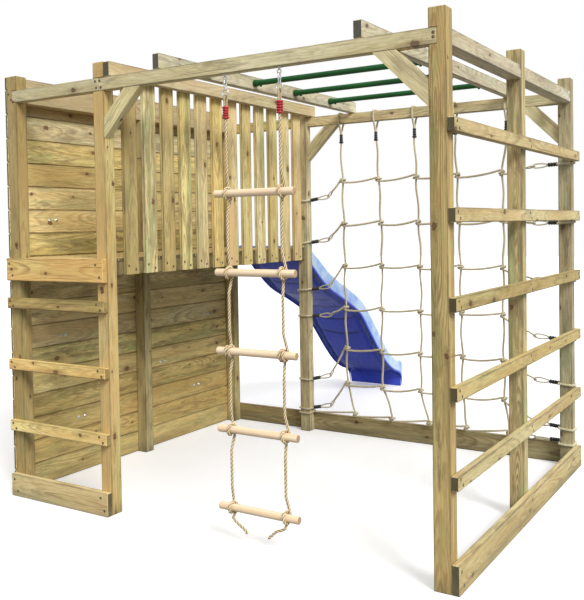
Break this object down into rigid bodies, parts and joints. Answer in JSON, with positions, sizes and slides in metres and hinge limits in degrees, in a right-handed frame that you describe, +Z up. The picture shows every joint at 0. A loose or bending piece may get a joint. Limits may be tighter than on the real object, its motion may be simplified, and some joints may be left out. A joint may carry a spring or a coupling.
{
  "type": "play tower with slide",
  "caption": "Timber climbing frame: boarded tower with deck and wavy slide, monkey bars, rope ladder, climbing net and end ladder.",
  "frame": {"origin": "on the ground under the centre of the object's bounding box", "axes": "+Z up, +Y from the open front to the back and along the slide, +X from the tower to the monkey bars' end"},
  "size_m": [2.5119, 3.7332, 2.21],
  "materials": {
    "pine": "planed, pressure treated, matt",
    "slide_blue": "moulded, satin gloss",
    "rope": "twisted rope",
    "zinc": "galvanised",
    "bar_green": "powder coated",
    "rung_wood": "turned, smooth",
    "hold_stone": "cast resin, gritty"
  },
  "bodies": {
    "frame": {"back_base_board": "pine", "back_beam_left": "pine", "back_beam_right": "pine", "brace_back_middle": "pine", "brace_back_right": "pine", "brace_front_middle": "pine", "brace_front_right": "pine", "climbing_hold_1": "hold_stone", "climbing_hold_2": "hold_stone", "climbing_hold_3": "hold_stone", "climbing_hold_4": "hold_stone", "climbing_hold_5": "hold_stone", "climbing_hold_6": "hold_stone", "climbing_net": "rope", "cross_beam_1": "pine", "cross_beam_2": "pine", "cross_beam_3": "pine", "deck": "pine", "deck_fascia": "pine", "front_beam_left": "pine", "front_beam_right": "pine", "ladder_hanger_left": "zinc", "ladder_hanger_right": "zinc", "left_base_board": "pine", "left_rung_1": "pine", "left_rung_2": "pine", "left_rung_3": "pine", "left_top_beam": "pine", "monkey_bar_1": "bar_green", "monkey_bar_2": "bar_green", "monkey_bar_3": "bar_green", "monkey_bar_4": "bar_green", "post_back_left": "pine", "post_back_middle": "pine", "post_back_right": "pine", "post_front_left": "pine", "post_front_middle": "pine", "post_front_right": "pine", "post_left_middle": "pine", "post_right_middle": "pine", "right_base_board": "pine", "right_end_beam_back": "pine", "right_end_beam_front": "pine", "right_rung_1": "pine", "right_rung_2": "pine", "right_rung_3": "pine", "right_rung_4": "pine", "right_rung_5": "pine", "slat_panel": "pine", "slide": "slide_blue", "wall_boards": "pine"},
    "ladder_upper": {"ladder_rope_upper_left": "rope", "ladder_rope_upper_right": "rope", "ladder_rung_1": "rung_wood", "ladder_rung_2": "rung_wood", "ladder_rung_3": "rung_wood"},
    "ladder_lower": {"ladder_rope_lower_left": "rope", "ladder_rope_lower_right": "rope", "ladder_rung_4": "rung_wood", "ladder_rung_5": "rung_wood"}
  },
  "joints": [
    {"name": "ladder_swing", "type": "hinge", "parent": "frame", "child": "ladder_upper", "pos_m": [0.34265, -1.81085, 1.973], "axis": [1, 0, 0], "range_deg": [-35, 35]},
    {"name": "ladder_fold", "type": "hinge", "parent": "ladder_upper", "child": "ladder_lower", "pos_m": [0.34265, -1.81085, 0.853], "axis": [1, 0, 0], "range_deg": [-30, 30]}
  ]
}
